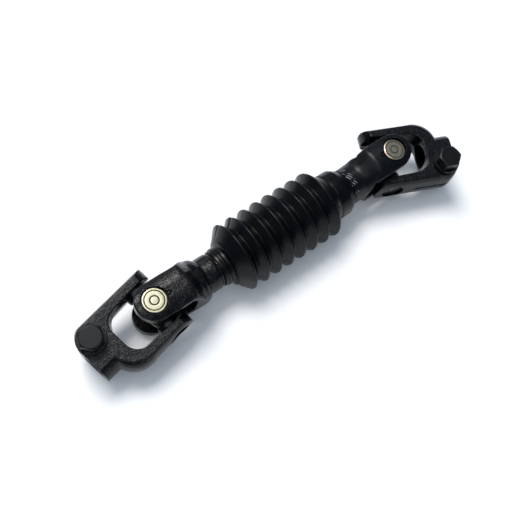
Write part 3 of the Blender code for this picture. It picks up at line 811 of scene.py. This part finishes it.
def fork_mesh(name, side, voxel):
    """Forged fork with a turned neck, cup bores and the marks beside them."""
    size = FORKS[side]
    face = sizes().ear_face
    bevel = 0.8 * MM
    levels = []
    for z, inset in ((-face, bevel), (-face + bevel, 0.0), (face - bevel, 0.0), (face, bevel)):
        levels.append((z, ear_outline(inset, size["wide"])))
    item = loft(name, levels)
    top = math.hypot(face, sizes().ear_radius) + 1.2 * MM
    profile = [(-20 * MM, 0.0), (-20 * MM, top), (0.0, top), (17 * MM, top)]
    crown = size["start"] - RIM_LENGTH

    def crowned(along, radius, turn):
        """The upper ear is turned down to its face, the lower one stays flat."""
        low, high = size["fall"]
        if along > high:
            return along, radius
        t = min(1.0, max(0.0, (along - low) / (high - low)))
        up = ease(min(1.0, max(0.0, (math.cos(turn) - 0.1) / 0.4)))
        end = size["neck"] + size["rim"] * (1 - (max(0.0, high - crown) / RIM_LENGTH) ** 2)
        level = face + 0.3 * MM + (end - face - 0.3 * MM) * ease(t)
        return along, radius + up * (level - radius)

    for i in range(1, 25):
        x = 17 * MM + (crown - 17 * MM) * i / 24
        profile.append((x, top + (size["neck"] + size["rim"] - top) * ease(i / 24)))
    for i in range(1, 13):
        rise = size["rim"] * (1 - (i / 12) ** 2)
        profile.append((crown + RIM_LENGTH * i / 12, size["neck"] + rise))
    if side == "left":
        groove = size["neck"] - 0.9 * MM
        profile += [(size["end"] - 2.2 * MM, size["neck"]), (size["end"] - 1.6 * MM, groove),
                    (size["end"], groove), (size["end"], 0.0)]
    else:
        profile += [(size["end"], size["neck"]), (size["end"], 10.6 * MM),
                    (size["end"] + 8.3 * MM, 10.6 * MM), (size["end"] + 8.3 * MM, 0.0)]
    combine(item, revolve("turned", profile, 'X', 128, shape=crowned), 'INTERSECT')
    combine(item, side_prism(gap_outline(), 30 * MM), 'DIFFERENCE')
    forge(item, voxel, 4)

    def shoulder(co):
        """Where the shoulder meets the ears, short of the rim of the neck."""
        near = 1 - abs(co.x - 21 * MM) / (8 * MM)
        return min(1.0, 2 * near) * min(1.0, max(0.0, abs(co.z) - 10 * MM) / (3 * MM))

    soften(item, shoulder, 25)
    seat = [(face - 2.8 * MM, 0.0), (face - 2.8 * MM, 8.4 * MM), (face - 0.2 * MM, 8.6 * MM),
            (face + 2 * MM, 9.8 * MM), (face + 2 * MM, 0.0)]
    combine(item, revolve("seat", seat, 'Z', 72), 'DIFFERENCE')
    bore = rod('Z', sizes().cup_radius + BORE_GAP, -30 * MM, 30 * MM, 72)
    combine(item, bore, 'DIFFERENCE')
    if side == "left":
        combine(item, rod('X', 9.9 * MM, 30.5 * MM, 60 * MM, 48), 'DIFFERENCE')
    combine(item, ring_mark(face), 'DIFFERENCE')
    for angle in DENT_ANGLES:
        combine(item, dent(angle, face), 'DIFFERENCE')
    return shade(item)


def fork_flat(co, normal):
    """A little grain on the outer side of the ears, whose grey speckle is partly painted glint."""
    outward = normal.z if co.z > 0 else -normal.z
    return 0.06 + 0.50 * min(1.0, max(0.0, outward - 0.7) / 0.3)


class SHAFT_OT_inner_yokes(bpy.types.Operator):
    """Build the two inner yokes"""
    bl_idname = "shaft.inner_yokes"
    bl_label = "Inner yokes"

    def execute(self, context):
        for side in SIDES:
            size = FORKS[side]
            item = fork_mesh(side + "_fork_forging", side, sizes().voxel)
            set_wear_and_glint(item, fork_flat)
            paint = enamel(side + "_fork_enamel", size["grain"], size["worn_and_glint"], size["dull"],
                           size["scuffs_and_glints"])
            place(item, fork_frame(side), FORK_BODY[side], size["node"], paint)
        return {'FINISHED'}


# Bolts and washers


WASHER_LOW = HALF_HEIGHT + 0.3 * MM
WASHER_THICK = 2.4 * MM
HEAD_LOW = WASHER_LOW + WASHER_THICK + 0.5 * MM
HEAD_HIGH = HEAD_LOW + 7.0 * MM
ACROSS_FLATS = 14.0 * MM


def bolt_mesh(name):
    """Hex bolt with a chamfered head and a rolled thread."""
    corner = ACROSS_FLATS / math.sqrt(3)
    hexagon = arc(0, 0, corner, 0, 300, 5)
    item = loft(name, [(HEAD_LOW, hexagon), (HEAD_HIGH, hexagon)])
    crown = [(HEAD_LOW - 1 * MM, 0.0), (HEAD_LOW - 1 * MM, corner * 1.1),
             (HEAD_HIGH - 0.9 * MM, corner * 1.02), (HEAD_HIGH - 0.35 * MM, 7.15 * MM),
             (HEAD_HIGH, 6.5 * MM), (HEAD_HIGH, 0.0)]
    combine(item, revolve("crown", crown, 'Z', 72), 'INTERSECT')
    forge(item, 0.16 * MM, 1)
    low = -HALF_HEIGHT - 1.2 * MM
    pitch = 1.5 * MM

    def thread(a, r, turn):
        """Rolled thread on the lower end of the shank."""
        if a > 2.0 * MM or a < low + 0.6 * MM:
            return a, r
        phase = (a / pitch + turn / (2 * math.pi)) % 1.0
        return a, r - 0.8 * MM * abs(phase - 0.5)

    profile = [(low, 0.0), (low, BOLT_RADIUS - 0.9 * MM)]
    steps = 120
    for i in range(steps + 1):
        a = low + 0.5 * MM + (2.5 * MM - low) * i / steps
        profile.append((a, BOLT_RADIUS - (0.4 * MM if i == 0 else 0.0)))
    profile += [(HEAD_LOW + 0.5 * MM, BOLT_RADIUS), (HEAD_LOW + 0.5 * MM, 0.0)]
    combine(item, revolve("shank", profile, 'Z', 48, shape=thread), 'UNION')
    item.data.transform(Matrix.Translation((BOLT_X, BOLT_Y, 0)))
    return shade(item, 30.0)


def washer_mesh(name):
    """Split spring washer with square ends."""
    bm = bmesh.new()
    inner, outer = BOLT_RADIUS + 0.3 * MM, 9.0 * MM
    round_off = 0.2 * MM
    section = [(inner, 0), (outer - round_off, 0), (outer, round_off),
               (outer, WASHER_THICK - round_off), (outer - round_off, WASHER_THICK),
               (inner, WASHER_THICK)]
    rings = []
    steps = 110
    for i in range(steps + 1):
        a = math.radians(20 + 345 * i / steps)
        lift = WASHER_LOW + 0.2 * MM * i / steps
        ring_points = []
        for r, z in section:
            x, y = BOLT_X + r * math.cos(a), BOLT_Y + r * math.sin(a)
            ring_points.append(bm.verts.new((x, y, lift + z)))
        rings.append(ring_points)
    for one, two in zip(rings, rings[1:]):
        for i in range(len(section)):
            j = (i + 1) % len(section)
            bm.faces.new((one[i], one[j], two[j], two[i]))
    bm.faces.new(rings[0])
    bm.faces.new(list(reversed(rings[-1])))
    return shade(new_object(name, bm), 30.0)


class SHAFT_OT_fasteners(bpy.types.Operator):
    """Build the pinch bolts and their lock washers"""
    bl_idname = "shaft.fasteners"
    bl_label = "Bolts and washers"

    def execute(self, context):
        for side in SIDES:
            place(bolt_mesh(side + "_hex_bolt"), clamp_frame(side), side + "_clamp",
                  side + "_pinch_bolt", black_oxide(side + "_bolt_oxide"))
            place(washer_mesh(side + "_spring_washer"), clamp_frame(side), side + "_clamp",
                  side + "_lock_washer", black_oxide(side + "_washer_oxide"))
        return {'FINISHED'}


# Bearings


CUP_CROWN = {"left": 0.0, "right": 0.1 * MM}
FORK_GREASE = {"left": (0.04, 0.028, 0.008), "right": (0.07, 0.055, 0.04)}
CLAMP_GREASE = (0.05, 0.04, 0.03)


def trunnion_frame(side, where):
    """Frame of one trunnion, Z outwards, and the body that its cup is in."""
    turn = Matrix.Rotation(math.radians(PLACES[where]), 4, 'X')
    if where in FORK_PLACES:
        return fork_frame(side) @ turn, FORK_BODY[side]
    return clamp_frame(side) @ turn, side + "_clamp"


def cup_mesh(name, crown):
    """Drawn cup: rolled rim, two thin rings and a dimple in its face."""
    r = sizes().cup_radius
    face = sizes().cup_face
    low = face - 0.13 * MM
    line = [(face - 0.06 * MM, 0.0, 0)]
    for radius, _ in CUP_GROOVES:
        line += [(face - 0.02 * MM, radius - 0.26 * MM, 0.05 * MM),
                 (low, radius - 0.10 * MM, 0.03 * MM), (low, radius + 0.10 * MM, 0.03 * MM),
                 (face, radius + 0.26 * MM, 0.05 * MM)]
    rim, wall, bottom, depth = 0.22 * MM, 0.9 * MM, 1.6 * MM, 7.6 * MM
    line += [(face, r - rim - 3 * crown, 0.1 * MM + 2 * crown),
             (face - rim - crown, r, 0.1 * MM), (face - depth, r, 0), (face - depth, r - wall, 0),
             (face - bottom, r - wall, 0), (face - bottom, 0.0, 0)]
    return shade(revolve(name, rounded(line, 3), 'Z', 96), 25.0)


def seal_mesh(name):
    """Lip seal between a cup and the shoulder of the cross."""
    profile = [(10.65, 5.25), (10.65, 6.5), (11.0, 7.1), (11.5, 7.35), (12.2, 7.4),
               (12.5, 7.2), (12.5, 5.25)]
    return shade(revolve(name, [(a * MM, r * MM) for a, r in profile], 'Z', 64, closed=True))


def cross_mesh(name):
    """Cross with four ground trunnions and a waisted middle."""
    half = [(6.0, 7.3), (7.3, 7.1), (9.6, 6.65), (10.1, 6.5), (10.3, 6.2), (10.3, 4.95),
            (17.8, 4.95), (18.4, 4.4), (18.4, 0.0)]
    half = [(a * MM, r * MM) for a, r in half]
    profile = [(-a, r) for a, r in reversed(half)] + half
    item = revolve(name, profile, 'Z', 64)
    combine(item, revolve("pins", profile, 'Y', 64), 'UNION')
    return shade(item)


class SHAFT_OT_bearings(bpy.types.Operator):
    """Build the crosses, the bearing cups and the seals"""
    bl_idname = "shaft.bearings"
    bl_label = "Crosses and bearings"

    def execute(self, context):
        # The right fork's cups take the brighter copy of the steel: partly painted light
        fork_steel = {"left": colours().steel, "right": colours().steel_with_painted_light}
        for side in SIDES:
            for where in PLACES:
                # Clamp cups take the darker copy of the steel: painted shade
                base, grease = colours().steel_with_painted_shade, CLAMP_GREASE
                if where in FORK_PLACES:
                    base, grease = fork_steel[side], FORK_GREASE[side]
                matrix, body = trunnion_frame(side, where)
                place(cup_mesh(side + "_bearing_cup_" + where, CUP_CROWN[side]), matrix, body,
                      side + "_cup_" + where,
                      cup_steel(side + "_cup_steel_" + where, base, grease))
                place(seal_mesh(side + "_lip_seal_" + where), matrix, body,
                      side + "_seal_" + where,
                      black_rubber(side + "_seal_rubber_" + where))
                needle_steel = plain_steel(side + "_needle_steel_" + where,
                                           (0.6, 0.6, 0.6), 0.22, 0.34)
                finish_node(side + "_needles_" + where, needle_steel)
            place(cross_mesh(side + "_journal_cross"), cross_frame(side), side + "_cross",
                  side + "_cross",
                  plain_steel(side + "_cross_steel", (0.14, 0.13, 0.12), 0.32, 0.5))
        return {'FINISHED'}


# Bellows


FIRST_CREST = 62.0 * MM
PITCH = 9.83 * MM
RUBBER = 1.4 * MM
SEAM = math.radians(-62.0)
CUFF_TOP = 16.9 * MM


def bellows_profile():
    """Outer line from the small cuff to the large one, then back inside."""
    size = sizes()
    tip, root = size.crest_radius + 0.42 * MM, size.valley_radius - 0.30 * MM
    line = [(47.0, 10.75, 0), (47.0, 12.3, 0.4), (48.7, 12.5, 0.7), (49.4, 13.05, 0.5),
            (50.8, 13.05, 0.6), (51.5, 12.7, 0.7), (53.3, 12.8, 0.6), (54.3, 15.8, 0.7),
            (55.2, 16.5, 0.5)]
    line = [(a * MM, r * MM, f * MM) for a, r, f in line]
    for i in range(size.folds):
        x = FIRST_CREST + i * PITCH
        line.append((x, tip, 0.85 * MM))
        if i < size.folds - 1:
            line.append((x + PITCH / 2, root, 0.60 * MM))
    tail = [(136.0, 18.1, 1.2), (139.7, 16.1, 0.5), (140.4, 16.65, 0.35), (147.9, 16.6, 0.9),
            (152.0, 14.3, 0.3), (152.0, 13.75, 0), (140.5, 13.75, 0), (135.8, 16.5, 0)]
    line += [(a * MM, r * MM, f * MM) for a, r, f in tail]
    points = rounded(line)
    for i in reversed(range(size.folds)):
        x = FIRST_CREST + i * PITCH
        points.append((x, size.crest_radius - RUBBER))
        if i > 0:
            points.append((x - PITCH / 2, size.valley_radius - RUBBER))
    points += [(a * MM, r * MM) for a, r in ((57.0, 16.4), (53.0, 10.75))]
    return points


def bellows_skin(along, radius, turn):
    """Mould seam along one side of the folds, pinched in at the first of them."""
    if radius < CUFF_TOP:
        return along, radius
    off = (turn - SEAM + math.pi) % (2 * math.pi) - math.pi
    ridge = 0.16 * MM * math.exp(-(off / 0.022) ** 2)
    pinched = max(0.0, 1 - abs(along - FIRST_CREST - 0.4 * PITCH) / (1.1 * PITCH))
    pinch = 1.1 * MM * min(1.0, pinched * 2) * math.exp(-(off / 0.05) ** 2)
    return along, radius + ridge - pinch


class SHAFT_OT_bellows(bpy.types.Operator):
    """Build the rubber bellows"""
    bl_idname = "shaft.bellows"
    bl_label = "Bellows"

    def execute(self, context):
        item = revolve("bellows_rubber", bellows_profile(), 'X', 160, closed=True,
                       shape=bellows_skin)
        shade(item, 50.0)
        item.data.transform(shaft_frame())
        item.data.materials.append(black_rubber("bellows_black_rubber"))
        origin = shaft_frame().translation
        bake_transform(item)
        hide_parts("bellows")
        return {'FINISHED'}


# Pieces that stay as they are in the solids


class SHAFT_OT_sliding_parts(bpy.types.Operator):
    """Give the sliding shaft, its sleeve and the tube their finishes"""
    bl_idname = "shaft.sliding_parts"
    bl_label = "Sliding parts"

    def execute(self, context):
        finishes = {
            "splined_shaft": plain_steel("shaft_turned_steel", (0.42, 0.41, 0.40), 0.25, 0.4),
            "spline_sleeve": nylon("sleeve_nylon_coat"),
            "splined_tube": enamel("tube_enamel"),
        }
        for node, material in finishes.items():
            finish_node(node, material)
        return {'FINISHED'}


# Stage


FRAME_WIDTH = 520
SENSOR_WIDTH = 36.0
FOCAL = 709.5
CAMERA_PLACE = Vector((-78.39, -79.23, 423.37)) * MM
CAMERA_TURN = (-65.833, 68.354, -31.459)
# Name, direction from the shaft, distance, size, radiance and colour
LAMPS = (
    ("overhead", (-0.30, 0.18, 0.936), 2.0, (2.5, 2.4), 0.86, (1.0, 1.0, 1.0)),
    ("key", (0.0, 0.58, 0.815), 3.0, (1.4, 1.4), 11.5, (1.0, 0.98, 0.94)),
    ("back", (0.0, 1.00, 0.24), 1.3, (1.4, 0.5), 0.8, (0.92, 0.96, 1.0)),
)
WORLD_COLOUR = (0.30, 0.60, 1.0, 1)
WORLD_STRENGTH = 0.20
FLOOR_HALF = 4.0
FLOOR_GLOW = 0.10


def camera_frame():
    """Camera axes in the frame of the shaft: right, up, back and place."""
    turn, rise, roll = (math.radians(v) for v in CAMERA_TURN)
    back = Vector((math.sin(turn) * math.cos(rise), -math.cos(turn) * math.cos(rise),
                   math.sin(rise)))
    right = (-back).cross(Vector((0, 0, 1))).normalized()
    down = (-back).cross(right)
    tilted = right * math.cos(roll) + down * math.sin(roll)
    drop = -right * math.sin(roll) + down * math.cos(roll)
    return shaft_frame() @ axes(CAMERA_PLACE, tilted, -drop, back)


def add_camera():
    """Camera at the fitted place, which becomes the scene's own."""
    data = bpy.data.cameras.new("camera")
    data.sensor_width = SENSOR_WIDTH
    data.lens = FOCAL / FRAME_WIDTH * SENSOR_WIDTH
    data.clip_start = 0.01
    camera = bpy.data.objects.new("camera", data)
    bpy.context.scene.collection.objects.link(camera)
    camera.matrix_world = camera_frame()
    bpy.context.scene.camera = camera


def add_lamp(name, toward, reach, size, radiance, colour):
    """Soft box in a direction from the middle of the shaft, facing it."""
    frame_of_shaft = shaft_frame()
    aim = frame_of_shaft @ Vector((0.09, 0.0, 0.0))
    away = (frame_of_shaft.to_3x3() @ Vector(toward)).normalized()
    data = bpy.data.lights.new(name, 'AREA')
    data.shape = 'RECTANGLE'
    data.size, data.size_y = size
    data.energy = radiance * math.pi * size[0] * size[1]
    data.color = colour
    lamp = bpy.data.objects.new(name, data)
    bpy.context.scene.collection.objects.link(lamp)
    lamp.location = aim + away * reach
    lamp.rotation_euler = away.to_track_quat('Z', 'Y').to_euler()
    lamp.visible_camera = False


def floor_paper(name):
    """Pale paper with a faint glow where it is seen, so that it reads as white."""
    n = Nodes(name)
    tone = n.ramp(n.noise(6.0, 3.0), 0.3, 0.7, 0.0, 1.0)
    paler = tuple(c * 0.985 for c in colours().floor)
    n.link(n.mix(tone, colours().floor, paler), n.shader.inputs["Base Color"])
    n.plain(Roughness=0.9, Specular_IOR_Level=0.1)
    glow = n.add("ShaderNodeEmission")
    glow.inputs["Color"].default_value = (1, 1, 1, 1)
    path = n.add("ShaderNodeLightPath")
    seen = n.math('MAXIMUM', path.outputs["Is Camera Ray"], path.outputs["Is Glossy Ray"])
    seen = n.math('MAXIMUM', seen, path.outputs["Is Transmission Ray"])
    n.link(n.math('MULTIPLY', seen, FLOOR_GLOW), glow.inputs["Strength"])
    both = n.add("ShaderNodeAddShader")
    n.link(n.shader.outputs[0], both.inputs[0])
    n.link(glow.outputs[0], both.inputs[1])
    n.link(both.outputs[0], n.tree.nodes["Material Output"].inputs["Surface"])
    return n.mat


class SHAFT_OT_stage(bpy.types.Operator):
    """Lay the floor and set the lamps, the world and the camera"""
    bl_idname = "shaft.stage"
    bl_label = "Stage"

    def execute(self, context):
        bm = bmesh.new()
        bmesh.ops.create_grid(bm, x_segments=2, y_segments=2, size=FLOOR_HALF)
        floor = new_object("floor", bm)
        floor.data.materials.append(floor_paper("floor_paper"))
        add_camera()
        for lamp in LAMPS:
            add_lamp(*lamp)
        world = bpy.data.worlds.new("world")
        world.use_nodes = True
        background = world.node_tree.nodes["Background"]
        background.inputs["Color"].default_value = WORLD_COLOUR
        background.inputs["Strength"].default_value = WORLD_STRENGTH
        context.scene.world = world
        context.scene.view_settings.view_transform = 'Standard'
        return {'FINISHED'}


# Panel and registration


class SHAFT_PT_looks(bpy.types.Panel):
    """Panel of the shaft's sizes, colours and pieces"""
    bl_idname = "SHAFT_PT_looks"
    bl_label = "Steering shaft"
    bl_space_type = 'VIEW_3D'
    bl_region_type = 'UI'
    bl_category = "Shaft"

    def draw(self, context):
        for group in (context.scene.shaft_sizes, context.scene.shaft_colours):
            for key in group.__annotations__:
                self.layout.prop(group, key)
        for operator in OPERATORS:
            self.layout.operator(operator.bl_idname)


OPERATORS = (SHAFT_OT_clamp_yokes, SHAFT_OT_inner_yokes, SHAFT_OT_fasteners, SHAFT_OT_bearings,
             SHAFT_OT_bellows, SHAFT_OT_sliding_parts, SHAFT_OT_stage)
CLASSES = (ShaftSizes, ShaftColours, *OPERATORS, SHAFT_PT_looks)


def register():
    """Add the classes and the two groups of values."""
    for item in CLASSES:
        bpy.utils.register_class(item)
    bpy.types.Scene.shaft_sizes = PointerProperty(type=ShaftSizes)
    bpy.types.Scene.shaft_colours = PointerProperty(type=ShaftColours)


def unregister():
    """Take them out again."""
    del bpy.types.Scene.shaft_colours
    del bpy.types.Scene.shaft_sizes
    for item in reversed(CLASSES):
        bpy.utils.unregister_class(item)


def main():
    """Build every piece and the stage."""
    register()
    bpy.ops.shaft.clamp_yokes()
    bpy.ops.shaft.inner_yokes()
    bpy.ops.shaft.fasteners()
    bpy.ops.shaft.bearings()
    bpy.ops.shaft.bellows()
    bpy.ops.shaft.sliding_parts()
    bpy.ops.shaft.stage()


if __name__ == "__main__":
    main()
